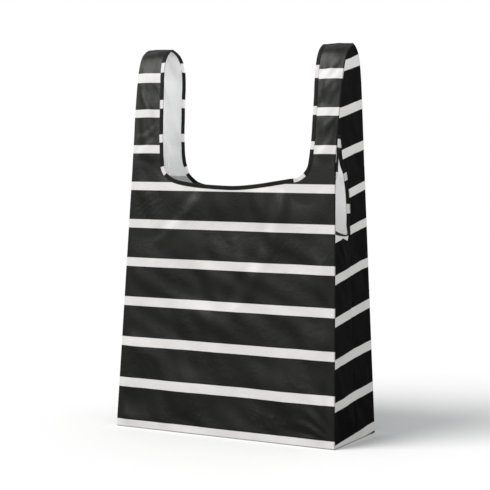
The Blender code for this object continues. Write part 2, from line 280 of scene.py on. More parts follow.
def strap_at(length):
    """Half depth, height and outward normal (depth, height) of a strap's outer face."""
    step = 0.0008
    before = np.clip(np.asarray(length) - step, 0, STRAP_LENGTH)
    after = np.clip(np.asarray(length) + step, 0, STRAP_LENGTH)
    travel_y = np.interp(after, fine_length, fine_y) - np.interp(before, fine_length, fine_y)
    travel_z = np.interp(after, fine_length, fine_z) - np.interp(before, fine_length, fine_z)
    size = np.hypot(travel_y, travel_z)
    y, z = np.interp(length, fine_length, fine_y), np.interp(length, fine_length, fine_z)
    return y, z, travel_z / size, -travel_y / size


def strap_y(z):
    """Half depth at height z, over panels and straps."""
    z = np.asarray(z, float)
    return np.where(z <= HINGE_Z, panel_y(z), np.interp(z, fine_z, fine_y))


def strap_length_at(z):
    return np.interp(z, fine_z, fine_length)


def corner_y(z):
    return strap_y(z) - ROLL


def inner_x(strap_name, z):
    return monotone_cubic(*INNER_EDGE[strap_name], z)


def outer_x(side, z):
    return side_x(z) + monotone_cubic(OUTER_Z, OUTER_SHIFT[side], z)


def neck_z(face, x):
    """Height of the opening's edge at x, between the strap roots."""
    line = NECKS[face]
    line = line[line[:, 1] < HINGE_Z + 0.0015]
    return np.interp(x, line[:, 0], line[:, 1])


def neck_corner(face, side):
    """The opening's rounded corner beside one strap, from its lowest point upward."""
    line = NECKS[face]
    if side == "right":
        return line[line[:, 0] > NECK_CORNER_X]
    return line[line[:, 0] < -NECK_CORNER_X][::-1]


def neck_x(face, side, z):
    """Distance from the middle of the opening's edge at height z, in the rounded corners."""
    corner = neck_corner(face, side)
    corner = corner[corner[:, 1] > NECK_CORNER_Z]
    return np.interp(z, corner[:, 1], np.abs(corner[:, 0]))


# ------------------------------------------------------------ stripes
# "stripe" counts stripes upward: a pale one is centred on every whole number
STRIPE_HALF = 0.1125                      # half of a pale stripe, in counts
# on the panels, z = start + pitch * count - shrink * count ** 2
STRIPE_START, STRIPE_PITCH, STRIPE_SHRINK = 0.0046, 0.0697, 0.00075
NINTH_Z, RIDGE_PITCH = 0.5712, 0.085      # ninth stripe, and the even pitch above it
# heights of counts -1 to 10 on the gussets, at their front and back corners
SIDE_FRONT_Z = np.array([-0.0675, -0.0015, 0.0630, 0.1283, 0.1922, 0.2566, 0.3201, 0.3767,
                         0.4435, 0.5111, 0.5838, 0.668])
SIDE_BACK_Z = np.array([-0.0555, 0.0109, 0.0762, 0.1441, 0.2118, 0.2779, 0.3424, 0.4011,
                        0.4652, 0.5295, 0.5973, 0.680])
# lower rim of the stripe under the slit: y, z
PINCHED_Y = [-0.066, -0.0319, -0.0117, -0.0090, -0.0072, -0.0005]
PINCHED_Z = [0.3130, 0.3198, 0.3150, 0.3180, 0.3290, 0.3300]


def stripe_panel(z):
    rise = np.asarray(z, float) - STRIPE_START
    root = np.sqrt(np.maximum(STRIPE_PITCH ** 2 - 4 * STRIPE_SHRINK * rise, 1e-7))
    return (STRIPE_PITCH - root) / (2 * STRIPE_SHRINK)


def stripe_strap(length):
    z = np.interp(length, fine_length, fine_z)
    ninth = strap_length_at(NINTH_Z)
    return np.where(length < ninth, stripe_panel(z), 9.0 + (length - ninth) / RIDGE_PITCH)


def stripe_side(y, z):
    half = np.maximum(strap_y(z), 0.02)
    share = np.clip((y + half) / (2 * half), 0, 1)[..., None]
    levels = SIDE_FRONT_Z + (SIDE_BACK_Z - SIDE_FRONT_Z) * share
    stripe = np.zeros(y.shape)
    for i in range(len(SIDE_FRONT_Z) - 1):
        low, high = levels[..., i], levels[..., i + 1]
        between = (z >= low) & (z < high)
        stripe = np.where(between, i - 1 + (z - low) / (high - low), stripe)
    stripe = np.where(z >= levels[..., -1], 10.4, stripe)
    # the fifth stripe is pinched together under the slit
    pinched = 5 - STRIPE_HALF + (z - np.interp(y, PINCHED_Y, PINCHED_Z)) / 0.066
    weight = smooth(0.298, 0.311, z) * (1 - smooth(0.330, 0.336, z)) * (y < -0.0004)
    return stripe * (1 - weight) + pinched * weight


# ------------------------------------------------------------ folds in the cloth
# one-sided folds of each panel, gusset or strap: line of the fold (across, along), width,
# slope, and optionally the fade (start share, end share, blur). Straps count x, length.
FOLDS = {
    "front": [
        ([(-0.052, 0.392), (-0.0593, 0.381), (-0.0701, 0.3712), (-0.0969, 0.3416),
          (-0.1261, 0.3132)], 0.0080, 0.165),
        ([(0.0920, 0.395), (0.0862, 0.3665), (0.0677, 0.3037), (0.0346, 0.2429),
          (-0.0042, 0.1776)], 0.0100, 0.170, (0.0, 0.72, 0.30)),
        ([(-0.172, 0.066), (-0.177, 0.036), (-0.189, 0.010)], 0.005, 0.11),
        ([(0.012, 0.350), (0.022, 0.322), (0.030, 0.300)], 0.004, 0.07)],
    "back": [
        ([(0.070, 0.385), (0.030, 0.300), (-0.020, 0.190)], 0.011, 0.14, (0.0, 0.8, 0.2)),
        ([(-0.100, 0.380), (-0.120, 0.330), (-0.150, 0.270)], 0.009, 0.12)],
    "right": [([(0.034, 0.555), (0.016, 0.530), (-0.012, 0.518)], 0.0035, 0.14)],
    "left": [],
    "front_left": [
        ([(-0.176, 0.115), (-0.163, 0.095), (-0.152, 0.060)], 0.005, 0.16),
        ([(-0.146, 0.062), (-0.160, 0.050), (-0.178, 0.047)], 0.0032, 0.17),
        ([(-0.146, 0.042), (-0.162, 0.030), (-0.176, 0.016)], 0.0035, 0.13)],
    "front_right": [
        ([(0.176, 0.050), (0.158, 0.030), (0.150, 0.010)], 0.0045, 0.12),
        ([(0.150, 0.140), (0.158, 0.100)], 0.006, 0.10)],
    "back_left": [],
    "back_right": [],
}
# patches of fine crinkles on the panels: centre, size, height, wave (seed, length, angle, fan)
CRINKLES = {
    "front": [((-0.158, 0.360), (0.030, 0.034), 0.00036, (51, 0.016, -0.75, 0.8)),
              ((0.100, 0.033), (0.045, 0.022), 0.00042, (52, 0.018, 0.35, 1.2))],
    "back": [((-0.120, 0.035), (0.045, 0.024), 0.00040, (53, 0.021, -0.4, 0.9))],
}
# puckers under the slits: centre y, height, slant, wave length / 2 pi
PUCKERS = {"right": (-0.030, 0.0010, 0.6, 0.0042), "left": (-0.026, 0.0009, -0.5, 0.0045)}

SOFT_WAVES = {"front": Waves(11, 0.150), "back": Waves(12, 0.140),
              "right": Waves(13, 0.100), "left": Waves(14, 0.100)}
MIDDLE_WAVES = {"front": Waves(21, 0.048, angle=0.9, fan=1.6),
                "back": Waves(22, 0.052, angle=-0.9, fan=1.6),
                "right": Waves(23, 0.040), "left": Waves(24, 0.040)}
FINE_WAVES = {"front": Waves(31, 0.0145, angle=0.8, fan=1.9),
              "back": Waves(32, 0.0150, angle=-0.8, fan=1.9),
              "right": Waves(33, 0.0130), "left": Waves(34, 0.0130)}
MASK_WAVES = {"front": Waves(41, 0.110), "back": Waves(42, 0.110)}
for i, strap_name in enumerate(("front_right", "front_left", "back_right", "back_left")):
    SOFT_WAVES[strap_name] = Waves(61 + i, 0.060)
    MIDDLE_WAVES[strap_name] = Waves(71 + i, 0.022, angle=0.5 if i % 2 else -0.5, fan=1.2)
    FINE_WAVES[strap_name] = Waves(81 + i, 0.0115)


def fold(across, along, points, width, slope, fade=(0.0, 1.0, 0.15)):
    """A one-sided fold: the cloth tips over along a line, rising again on both sides."""
    distance, share = line_distance(across, along, points)
    start, end, blur = fade
    weight = (smooth(start - blur, start + 0.02, share)
              * (1 - smooth(end - 0.02, end + blur, share)))
    off = distance / width
    # 0.607 is the peak of off * exp(-off^2 / 2); 1.65 evens it out again
    return -slope * width * 0.607 * off * np.exp(-0.5 * off * off) * weight * 1.65


def folds(name, across, along):
    return sum(fold(across, along, *row) for row in FOLDS[name])


def front_details(x, z):
    """Shapes found only on the front panel."""
    # two sharp upright creases with a tipped facet between them
    left, right = 0.0655, 0.1105
    facet = np.clip((right - x) / (right - left), 0, 1) * smooth(left - 0.055, left, x)
    dent = 0.0022 * facet * smooth(0.325, 0.350, z) * (1 - smooth(0.388, 0.400, z))
    # fan of small folds running into the lower right corner
    corner_x, corner_z = x - 0.1965, z - 0.002
    radius, angle = np.hypot(corner_x, corner_z), np.arctan2(corner_z, -corner_x)
    near = smooth(0.008, 0.030, radius) * (1 - smooth(0.050, 0.115, radius))
    sector = smooth(0.05, 0.35, angle) * (1 - smooth(1.25, 1.55, angle))
    dent = dent + 0.00070 * near * sector * np.sin(angle * 17 + 9 * radius / 0.1)
    # upright hollow beside the lower right edge
    dent = dent - 0.0022 * hump(x, z, centre=(0.186, 0.066), size=(0.0105, 0.052))
    # pressed seam allowance near the lower left edge
    past_line = x - (-0.1788 - 0.010 * z)
    heights = (1 - smooth(0.105, 0.150, z)) * smooth(0.004, 0.02, z)
    dent = dent + 0.00055 * (1 - smooth(-0.0010, 0.0010, past_line)) * heights
    # slack just under the neckline
    return dent + 0.0010 * hump(x, z, centre=(-0.01, 0.372), size=(0.05, 0.02))


def dent_panel(face, x, z):
    """How far a panel's cloth stands proud of its flat pattern."""
    x, z = np.asarray(x, float), np.asarray(z, float)
    hold = smooth(0.0, 0.024, side_x(np.minimum(z, HINGE_Z)) - np.abs(x))
    foot = smooth(0.0, 0.020, z)
    top = 1 - smooth(CUT_Z + 0.02, HINGE_Z + 0.03, z)
    dent = 0.0011 * (SOFT_WAVES[face](x, z) + 0.6) + 0.00048 * MIDDLE_WAVES[face](x, z)
    mask = np.clip(0.5 + 0.9 * MASK_WAVES[face](x, z), 0, 1)
    dent = dent + 0.00013 * ridged(FINE_WAVES[face](x, z)) * mask
    dent = dent + folds(face, x, z)
    for centre, size, height, wave in CRINKLES[face]:
        dent = dent + height * hump(x, z, centre, size) * ridged(Waves(*wave)(x, z))
    if face == "front":
        dent = dent + front_details(x, z)
    dent = dent * hold * foot * (0.35 + 0.65 * top)
    # hollows are kept shallow near the base and beside the opening
    dent = np.where(z < 0.10, np.maximum(dent, -(0.0002 + 0.030 * z)), dent)
    return np.where((z > 0.30) & (np.abs(x) > 0.08), np.maximum(dent, -0.0003), dent)


def dent_side(side, y, z):
    """How far a gusset's cloth stands proud; a shallow valley runs down its centre seam."""
    y, z = np.asarray(y, float), np.asarray(z, float)
    half = strap_y(z)
    share = np.clip(np.abs(y) / np.maximum(half, 0.004), 0, 1)
    valley = 0.0019 * smooth(0.0, 0.07, z) * (1 - 0.75 * smooth(0.28, 0.42, z))
    hold = smooth(0.0, 0.024, half - np.abs(y)) * smooth(0.0, 0.02, z)
    by_seam = 0.25 + 0.75 * smooth(0.0, 0.010, np.abs(y))
    waves = 0.0006 * SOFT_WAVES[side](y, z) + 0.00022 * MIDDLE_WAVES[side](y, z)
    dent = -valley * (1 - share) + hold * by_seam * waves
    dent = dent + hold * 0.00006 * ridged(FINE_WAVES[side](y, z))
    centre_y, height, slant, wave = PUCKERS[side]
    pucker = hump(y, z, centre=(centre_y, 0.306), size=(0.022, 0.016))
    dent = dent + hold * height * pucker * np.sin((y + slant * (z - 0.32)) / wave)
    dent = dent + hold * folds(side, y, z)
    # the groove of the seam itself
    groove = np.exp(-(y / 0.0009) ** 2) * smooth(0.0, 0.02, z) * (1 - smooth(0.30, 0.33, z))
    return dent - 0.00022 * groove


def dent_strap(face, side, x, length):
    """Soft crown and crinkles of a strap."""
    name = face + "_" + side
    z = np.interp(length, fine_length, fine_z)
    inner, outer = inner_x(name, z), outer_x(side, z)
    share = np.clip((np.abs(x) - inner) / (outer - inner), 0, 1)
    start = smooth(0.0, 0.030, length)
    end = 1 - 0.6 * smooth(STRAP_LENGTH - 0.012, STRAP_LENGTH, length)
    hold = smooth(0.0, 0.25, 1 - share) * (0.35 + 0.65 * smooth(0.08, 0.30, share))
    waves = (0.0007 * SOFT_WAVES[name](x, length) + 0.00022 * MIDDLE_WAVES[name](x, length)
             + 0.00006 * ridged(FINE_WAVES[name](x, length)))
    crown = 0.0015 * np.sin(math.pi * share) ** 2
    return (crown + hold * (waves + folds(name, x, length))) * start * end


def rolled(*distances):
    """How far the surface drops behind its plane near folded edges."""
    total = 0.0
    for distance in distances:
        total = total + np.clip((ROLL - np.asarray(distance, float)) / ROLL, 0, 1) ** 2
    reach = np.clip(np.sqrt(total), 0, 1)
    return ROLL * (1 - np.sqrt(np.maximum(0, 1 - reach * reach)))


# ------------------------------------------------------------ points on the outer faces
def panel_point(face, x, z):
    """On a panel or a strap's foot."""
    drop = rolled(side_x(np.minimum(z, HINGE_Z)) - np.abs(x), z)
    y = strap_y(z) + dent_panel(face, x, z) - drop
    return np.stack([x, SIGN[face] * y, z], -1)


def strap_point(face, side, from_middle, length):
    """On a strap above its root."""
    y, z, out_y, out_z = strap_at(length)
    off = dent_strap(face, side, SIGN[side] * from_middle, length)
    # the panel's dents fade out over the strap's first stretch
    low = 1 - smooth(0.0, 0.03, length)
    panel_x = SIGN[side] * np.minimum(from_middle, side_x(HINGE_Z))
    off = off + low * dent_panel(face, panel_x, np.minimum(z, HINGE_Z + 0.0299))
    off = off - rolled(outer_x(side, z) - from_middle)
    return np.stack([SIGN[side] * from_middle, SIGN[face] * (y + off * out_y),
                     z + off * out_z], -1)


def side_point(side, y, z):
    """On a gusset or a handle's side."""
    x = outer_x(side, z) + dent_side(side, y, z) - rolled(z)
    return np.stack([SIGN[side] * x, y, z], -1)


# ------------------------------------------------------------ mesh builders
pieces = {}
materials = {}


def build(name, vertices, faces, material_names, slots, stripe, cloth_uv, sharp_degrees):
    mesh = bpy.data.meshes.new(name)
    mesh.from_pydata(np.asarray(vertices).tolist(), [], faces)
    for material_name in material_names:
        mesh.materials.append(materials[material_name])
    mesh.polygons.foreach_set("material_index", np.asarray(slots, np.int32))
    attribute = mesh.attributes.new("stripe", "FLOAT", "POINT")
    attribute.data.foreach_set("value", np.asarray(stripe, np.float32))
    attribute = mesh.attributes.new("cloth_uv", "FLOAT_VECTOR", "POINT")
    attribute.data.foreach_set("vector", np.asarray(cloth_uv, np.float32).ravel())
    mesh.shade_smooth()
    mesh.set_sharp_from_angle(angle=math.radians(sharp_degrees))
    mesh.update()
    piece = bpy.data.objects.new(name, mesh)
    bpy.context.scene.collection.objects.link(piece)
    pieces[name] = piece
    return piece


def sheet(name, outward, *parts, material="cloth", thickness=CLOTH):
    """A closed thin cloth, lined inside, from grids on its outer face.

    Each part is (points, stripe, across, along), the last two its place in the weave.
    """
    vertices, faces, slots, stripes, places = [], [], [], [], []
    base = 0
    for points, stripe, across, along in parts:
        rows, columns = points.shape[:2]
        count = rows * columns
        normals = unit(np.cross(np.gradient(points, axis=1), np.gradient(points, axis=0)))
        facing = -1 if (normals @ np.asarray(outward, float)).sum() < 0 else 1
        inner = points - normals * facing * thickness
        vertices += [points.reshape(-1, 3), inner.reshape(-1, 3)]
        index = np.arange(count).reshape(rows, columns)
        quads = np.stack([index[:-1, :-1], index[:-1, 1:], index[1:, 1:], index[1:, :-1]],
                         -1).reshape(-1, 4)[:, ::facing]
        ring = np.concatenate([index[0, :-1], index[:-1, -1], index[-1, :0:-1],
                               index[:0:-1, 0]])
        after = np.roll(ring, -1)
        rim = np.stack([ring, ring + count, after + count, after], -1)[:, ::facing]
        faces += [quads + base, quads[:, ::-1] + base + count, rim + base]
        slots += [np.zeros(len(quads)), np.ones(len(quads)), np.zeros(len(rim))]
        place = np.stack([across, along, np.zeros(along.shape)], -1).reshape(-1, 3)
        stripes += [stripe.ravel()] * 2
        places += [place] * 2
        base += 2 * count
    return build(name, np.concatenate(vertices), np.concatenate(faces).tolist(),
                 (material, "lining"), np.concatenate(slots), np.concatenate(stripes),
                 np.concatenate(places), sharp_degrees=50)


# half of the folded tape: distance into the cloth, height above the cloth's mid plane
TAPE_HALF = [(-0.00052, 0.00030), (-0.00022, 0.00074), (0.0005, 0.00092), (0.0016, 0.00080),
             (0.0032, 0.00074), (0.0044, 0.00066), (0.0050, 0.00058), (0.0055, 0.00074),
             (TAPE_WIDTH - 0.0002, 0.00066), (TAPE_WIDTH, 0.00030)]


def mirrored(half):
    return np.array(half + [(across, -height) for across, height in half[::-1]])


TAPE = mirrored(TAPE_HALF)


def sweep(name, path, into, normal, stripe, profile=TAPE, lift=-CLOTH / 2, width=1.0):
    """Sweeps a closed profile along a path.

    into points into the cloth and normal out of it; width scales the profile's reach.
    """
    rows, columns = len(path), len(profile)
    across = profile[:, 0] * np.broadcast_to(width, rows)[:, None]
    height = (profile[:, 1] + lift)[None, :, None]
    vertices = path[:, None] + into[:, None] * across[..., None] + normal[:, None] * height
    vertices = vertices.reshape(-1, 3)
    index = np.arange(rows * columns).reshape(rows, columns)
    beside = np.roll(index, -1, axis=1)
    quads = np.stack([index[:-1], index[1:], beside[1:], beside[:-1]], -1).reshape(-1, 4)
    faces = quads.tolist() + [index[0].tolist(), index[-1][::-1].tolist()]
    # the signed volume decides which way the faces look
    corners = vertices[quads] - vertices.mean(0)
    diagonal = np.cross(corners[:, 1], corners[:, 2]) + np.cross(corners[:, 2], corners[:, 3])
    if (corners[:, 0] * diagonal).sum() <= 0:
        faces = [face[::-1] for face in faces]
    place = np.stack([np.repeat(arc_length(path), columns), across.reshape(-1),
                      np.zeros(rows * columns)], 1)
    return build(name, vertices, faces, ("tape",), np.zeros(len(faces)),
                 np.repeat(stripe, columns), place, sharp_degrees=60)


STITCH_PITCH, STITCH_LENGTH = 0.0027, 0.0019
STITCH_INSET = 0.0050                     # from the rim of a tape
TAPE_STITCH_HEIGHTS = (0.00045, 0.00095)  # outer face, inner face
# cross-section of the thread: across, out of the cloth
STITCH_RING = [(-0.00020, 0.0), (0.0, 0.00017), (0.00020, 0.0), (0.0, -0.00017)]
# stations of a stitch: share of its length, thickness (0 is a point), drop
STITCH_STATIONS = [(-0.5, 0.0, -0.00016), (-0.33, 0.9, 0.0), (0.33, 0.9, 0.0),
                   (0.5, 0.0, -0.00016)]


def stitches(name, path, into, normal, stripe, offset, heights):
    """A row of separate stitches beside a path, on the outer and, if given, the inner face."""
    line = path + into * offset
    arc = arc_length(line)
    total = arc[-1]
    count = int((total - 0.002) / STITCH_PITCH)
    middles = (np.arange(count) + 0.5) * (total / count)
    vertices, faces, stripes = [], [], []
    for height, turn in zip(heights, (1.0, -1.0)):
        for middle, stitch_stripe in zip(middles, np.interp(middles, arc, stripe)):
            first = len(vertices)
            for share, thickness, drop in STITCH_STATIONS:
                at = [min(max(middle + share * STITCH_LENGTH, 0.0), total)]
                spot = interp_columns(at, arc, line)[0]
                inward = unit(interp_columns(at, arc, into))[0]
                outward = unit(interp_columns(at, arc, normal))[0] * turn
                centre = spot + outward * (height + drop)
                if thickness == 0:
                    vertices.append(centre)
                else:
                    vertices += [centre + inward * across * thickness + outward * up * thickness
                                 for across, up in STITCH_RING]
            ring, next_ring, last = first + 1, first + 5, first + 9
            for i in range(4):
                j = (i + 1) % 4
                faces.append((first, ring + j, ring + i))
                faces.append((ring + i, ring + j, next_ring + j, next_ring + i))
                faces.append((last, next_ring + i, next_ring + j))
            stripes += [stitch_stripe] * 10
    # the first stitch shows whether the faces look outward
    vertices = np.array(vertices)
    quad = vertices[list(faces[1])]
    quad_normal = np.cross(quad[1] - quad[0], quad[2] - quad[0])
    if quad_normal @ (quad.mean(0) - vertices[1:9].mean(0)) < 0:
        faces = [face[::-1] for face in faces]
    return build(name, vertices, faces, ("thread",), np.zeros(len(faces)), stripes,
                 np.zeros((len(vertices), 3)), sharp_degrees=60)


def sewn_tape(name, path, into, normal, stripe, width=1.0):
    """A folded tape over a cloth's rim, and the stitches that hold it."""
    inset = STITCH_INSET * np.broadcast_to(width, len(path))[:, None]
    tape = sweep(name, path, into, normal, stripe, width=width)
    seam = stitches(name.replace("tape", "stitch"), path, into, normal, stripe, inset,
                    TAPE_STITCH_HEIGHTS)
    return tape, seam


def tape_axes(path, inward, outward):
    """Directions into and out of the cloth, square to the path."""
    travel = unit(np.gradient(path, axis=0))
    into = unit(inward - dot(inward, travel)[:, None] * travel)
    normal = unit(np.cross(travel, into))
    return into, normal * np.where(dot(normal, outward) < 0, -1.0, 1.0)[:, None]


# ------------------------------------------------------------ how pieces are placed: replaced parts hidden, pieces baked or attached
def dress(piece, slot, *replaced):
    if replaced:
        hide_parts(*replaced)


def follow_root(piece, face):
    """For pieces from the panel to the strap's root; bakes their transform in place."""
    sign = SIGN[face]
    sign * float(panel_y(CUT_Z))
    sign * float(panel_y(HINGE_Z))
    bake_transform(piece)


def follow_handle(piece, face, side):
    """For pieces from the strap's root to the handle; bakes their transform in place."""
    x = SIGN[side] * float(side_x(HINGE_Z))
    y = SIGN[face] * float(panel_y(HINGE_Z))
    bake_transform(piece)


def follow_tuck(piece, side):
    """The strip beside the slit: the left one is attached to the gusset's front half; the right
    one, tucked in, only has its transform baked.
    """
    if side == "left":
        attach(piece, "gusset_left_front")
    else:
        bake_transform(piece)


def follow_fold(piece):
    """For the handle's side cloth and the upper slit tapes: bakes their transform in place."""
    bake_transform(piece)


# ------------------------------------------------------------ materials
class Shader:
    """A material's node tree around one principled surface."""

    def __init__(self, name):
        self.material = bpy.data.materials.new(name)
        self.material.use_nodes = True
        self.tree = self.material.node_tree
        self.tree.nodes.clear()
        output = self.new("ShaderNodeOutputMaterial")
        self.surface = self.new("ShaderNodeBsdfPrincipled")
        self.tree.links.new(self.surface.outputs[0], output.inputs[0])

    def new(self, kind):
        return self.tree.nodes.new(kind)

    def put(self, socket, value):
        if isinstance(value, bpy.types.NodeSocket):
            self.tree.links.new(value, socket)
        else:
            socket.default_value = value

    def surface_value(self, name, value):
        self.put(self.surface.inputs[name], value)

    def math(self, operation, *values):
        node = self.new("ShaderNodeMath")
        node.operation = operation
        for socket, value in zip(node.inputs, values):
            self.put(socket, value)
        return node.outputs[0]

    def add(self, first, second):
        return self.math("ADD", first, second)

    def subtract(self, first, second):
        return self.math("SUBTRACT", first, second)

    def multiply(self, first, second):
        return self.math("MULTIPLY", first, second)

    def attribute(self, name, output):
        node = self.new("ShaderNodeAttribute")
        node.attribute_name = name
        return node.outputs[output]

    def step(self, value, zero_at, one_at):
        """0 at one place, 1 at another, smooth between (works either way round)."""
        node = self.new("ShaderNodeMapRange")
        node.interpolation_type = "SMOOTHSTEP"
        self.put(node.inputs["Value"], value)
        node.inputs["From Min"].default_value = zero_at
        node.inputs["From Max"].default_value = one_at
        return node.outputs["Result"]

    def noise(self, vector, scale, detail, roughness=0.55, output=0):
        node = self.new("ShaderNodeTexNoise")
        self.put(node.inputs["Vector"], vector)
        node.inputs["Scale"].default_value = scale
        node.inputs["Detail"].default_value = detail
        node.inputs["Roughness"].default_value = roughness
        return node.outputs[output]

    def mix(self, share, first, second):
        node = self.new("ShaderNodeMix")
        node.data_type = "RGBA"
        for i, value in ((0, share), (6, first), (7, second)):
            self.put(node.inputs[i], value)
        return node.outputs[2]

    def scaled(self, vector, factor):
        node = self.new("ShaderNodeVectorMath")
        node.operation = "SCALE"
        self.put(node.inputs[0], vector)
        self.put(node.inputs[3], factor)
        return node.outputs[0]

    def thread_lines(self, coordinate, pitch):
        """Thin lines at an even pitch."""
        share = self.math("FRACT", self.multiply(coordinate, 1.0 / pitch))
        off = self.math("ABSOLUTE", self.subtract(share, 0.5))
        return self.step(off, zero_at=0.13, one_at=0.0)

    def weave(self, coordinate, pitch=0.00062):
        return self.math("SINE", self.multiply(coordinate, 2 * math.pi / pitch))


def stripe_masks(shader, place, half):
    """1 on the pale stripes, and the same with a soft rim; the edges waver a little."""
    blur = 0.0045
    waver = shader.noise(place, scale=260.0, detail=3.0)
    waver = shader.multiply(shader.subtract(waver, 0.5), 0.0045)
    count = shader.add(shader.attribute("stripe", "Fac"), waver)
    off = shader.math("ABSOLUTE", shader.subtract(count, shader.math("ROUND", count)))
    mask = shader.step(off, zero_at=half + blur, one_at=half - blur)
    return mask, shader.step(off, zero_at=half - 0.03, one_at=half - 0.004)


def crease_height(shader, place, height, strength):
    """Adds sharp little creases where the cloth has been folded and crushed."""
    warp = shader.noise(place, scale=30.0, detail=2.0, roughness=0.5, output="Color")
    bend = shader.scaled(warp, 0.020)
    moved = shader.new("ShaderNodeVectorMath")
    moved.operation = "ADD"
    shader.put(moved.inputs[0], place)
    shader.put(moved.inputs[1], bend)
    for cells, share in ((30.0, 2.6), (75.0, 1.2)):
        cell = shader.new("ShaderNodeTexVoronoi")
        cell.feature = "DISTANCE_TO_EDGE"
        shader.put(cell.inputs["Vector"], moved.outputs[0])
        cell.inputs["Scale"].default_value = cells
        lip = shader.step(cell.outputs["Distance"], zero_at=0.16, one_at=0.0)
        patches = shader.noise(place, scale=13.0 + cells * 0.1, detail=2.0)
        patches = shader.step(patches, zero_at=0.50, one_at=0.68)
        crease = shader.multiply(shader.multiply(lip, patches), share * strength)
        height = shader.add(height, crease)
    return height


def woven(name, dark, pale, striped=True, roughness=0.52, sheen=0.03, ripstop=0.0023,
          specular=0.14, bump=0.35, stripe_half=STRIPE_HALF, creases=0.5):
    """Woven cloth; ripstop is the pitch of its thick threads."""
    shader = Shader(name)
    place = shader.attribute("cloth_uv", "Vector")
    axes = shader.new("ShaderNodeSeparateXYZ")
    shader.put(axes.inputs[0], place)
    across, along = axes.outputs[0], axes.outputs[1]
    blotch = shader.noise(place, scale=38.0, detail=4.0)
    fleck = shader.noise(place, scale=900.0, detail=2.0)
    faint = shader.multiply(shader.thread_lines(across, ripstop), 0.7)
    threads = shader.math("MAXIMUM", faint, shader.thread_lines(along, ripstop))
    fine_weave = shader.multiply(shader.weave(across), shader.weave(along))

    low_roughness = roughness - 0.07
    if striped:
        mask, rim = stripe_masks(shader, place, stripe_half)
        colour = shader.mix(mask, (*dark, 1), (*pale, 1))
        # a soft rub of the ink at the stripe's rim
        rub = shader.multiply(shader.multiply(rim, mask), 0.035)
        bright = shader.subtract(1.0, rub)
        on_stripe = shader.multiply(mask, 0.10)
        uneven = shader.add(low_roughness, shader.multiply(blotch, 0.16))
        shader.surface_value("Roughness", shader.add(on_stripe, uneven))
    else:
        colour = shader.mix(0.0, (*pale, 1), (*dark, 1))
        bright = shader.add(1.0, 0.0)
        uneven = shader.add(low_roughness, shader.multiply(blotch, 0.16))
        shader.surface_value("Roughness", uneven)

    tone = shader.add(0.93, shader.multiply(blotch, 0.14))
    tone = shader.add(tone, shader.multiply(shader.subtract(fleck, 0.5), 0.10))
    if striped:
        # the threads catch light on the dark cloth and print faintly grey on the stripes
        lift = shader.add(0.26, shader.multiply(mask, -0.29))
        tone = shader.add(tone, shader.multiply(threads, lift))
    else:
        tone = shader.subtract(tone, shader.multiply(threads, 0.05))
    tone = shader.multiply(tone, bright)
    shader.surface_value("Base Color", shader.scaled(colour, tone))

    height = shader.add(shader.multiply(threads, 0.55), shader.multiply(fine_weave, 0.16))
    rumple = shader.noise(place, scale=150.0, detail=4.0)
    height = shader.add(height, shader.multiply(rumple, 0.9))
    height = crease_height(shader, place, height, creases)
    relief = shader.new("ShaderNodeBump")
    relief.inputs["Strength"].default_value = bump
    relief.inputs["Distance"].default_value = 0.00022
    shader.put(relief.inputs["Height"], height)
    shader.surface_value("Normal", relief.outputs[0])
    shader.surface_value("Specular IOR Level", specular)
    shader.surface_value("Sheen Weight", sheen)
    shader.surface_value("Sheen Roughness", 0.42)
    shader.surface_value("Metallic", 0.0)
    materials[name] = shader.material


WHITE = (0.800, 0.790, 0.775)
woven("cloth", dark=(0.0066, 0.0065, 0.0061), pale=WHITE, specular=0.27, roughness=0.33,
      sheen=0.02, creases=1.0)
# the gussets' copy of the cloth paints the side's shade: its black is less than half as bright as
# the front's and it shines far less; its white is a little lighter
woven("side_cloth_painted_shade", dark=(0.0030, 0.0030, 0.0029), pale=(0.840, 0.830, 0.815),
      specular=0.035, sheen=0.0, roughness=0.56)
woven("lining", dark=(0.3, 0.3, 0.3), pale=(0.780, 0.780, 0.783), striped=False,
      roughness=0.62, sheen=0.04, specular=0.20, bump=0.30)
woven("tape", dark=(0.0085, 0.0084, 0.0080), pale=WHITE, roughness=0.55, ripstop=0.0016,
      bump=0.45, stripe_half=0.1220)
woven("thread", dark=(0.022, 0.022, 0.021), pale=(0.70, 0.695, 0.68), roughness=0.6,
      ripstop=0.0005, bump=0.2)


# ------------------------------------------------------------ panels and straps
def rows_above_base(top, shares):
    """Heights from the rolled base edge up to the top."""
    return np.concatenate([EDGE_STEPS, ROLL + (top - ROLL) * shares])


def panel(face):
    middle = np.linspace(-1, 1, 2 * int(round((HALF_WIDTH - ROLL) / 0.0024)) + 1)
    # each column: share of the half width, distance in from the folded edge
    columns = ([(-1, step) for step in EDGE_STEPS] + [(share, ROLL) for share in middle]
               + [(1, step) for step in EDGE_STEPS[::-1]])
    neck_left = -float(neck_x(face, "left", CUT_Z))
    neck_right = float(neck_x(face, "right", CUT_Z))
    grid_x, grid_z = [], []
    for share, margin in columns:
        # the column leans, so its meeting with the neckline is closed in on
        top = CUT_Z
        for _ in range(30):
            x = float(share * (side_x(top) - margin))
            target = CUT_Z
            if neck_left < x < neck_right:
                target = min(CUT_Z, float(neck_z(face, x)) - NECK_LAP)
            top = 0.5 * top + 0.5 * target
        z = rows_above_base(top, np.linspace(0, 1, 168))
        grid_x.append(share * (side_x(z) - margin))
        grid_z.append(z)
    x, z = np.array(grid_x).T, np.array(grid_z).T
    cloth = sheet(face + "_cloth", (0, SIGN[face], 0),
                  (panel_point(face, x, z), stripe_panel(z), x, z))
    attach(cloth, face)
    dress(cloth, "striped_fabric", face + "_panel")


def strap_grid(inner, outer, columns):
    """Distances from the middle, from a strap's inner edge to its rolled outer edge."""
    flat = inner[:, None] + (outer - ROLL - inner)[:, None] * np.linspace(0, 1, columns)
    return np.concatenate([flat, outer[:, None] - EDGE_STEPS[::-1]], 1)


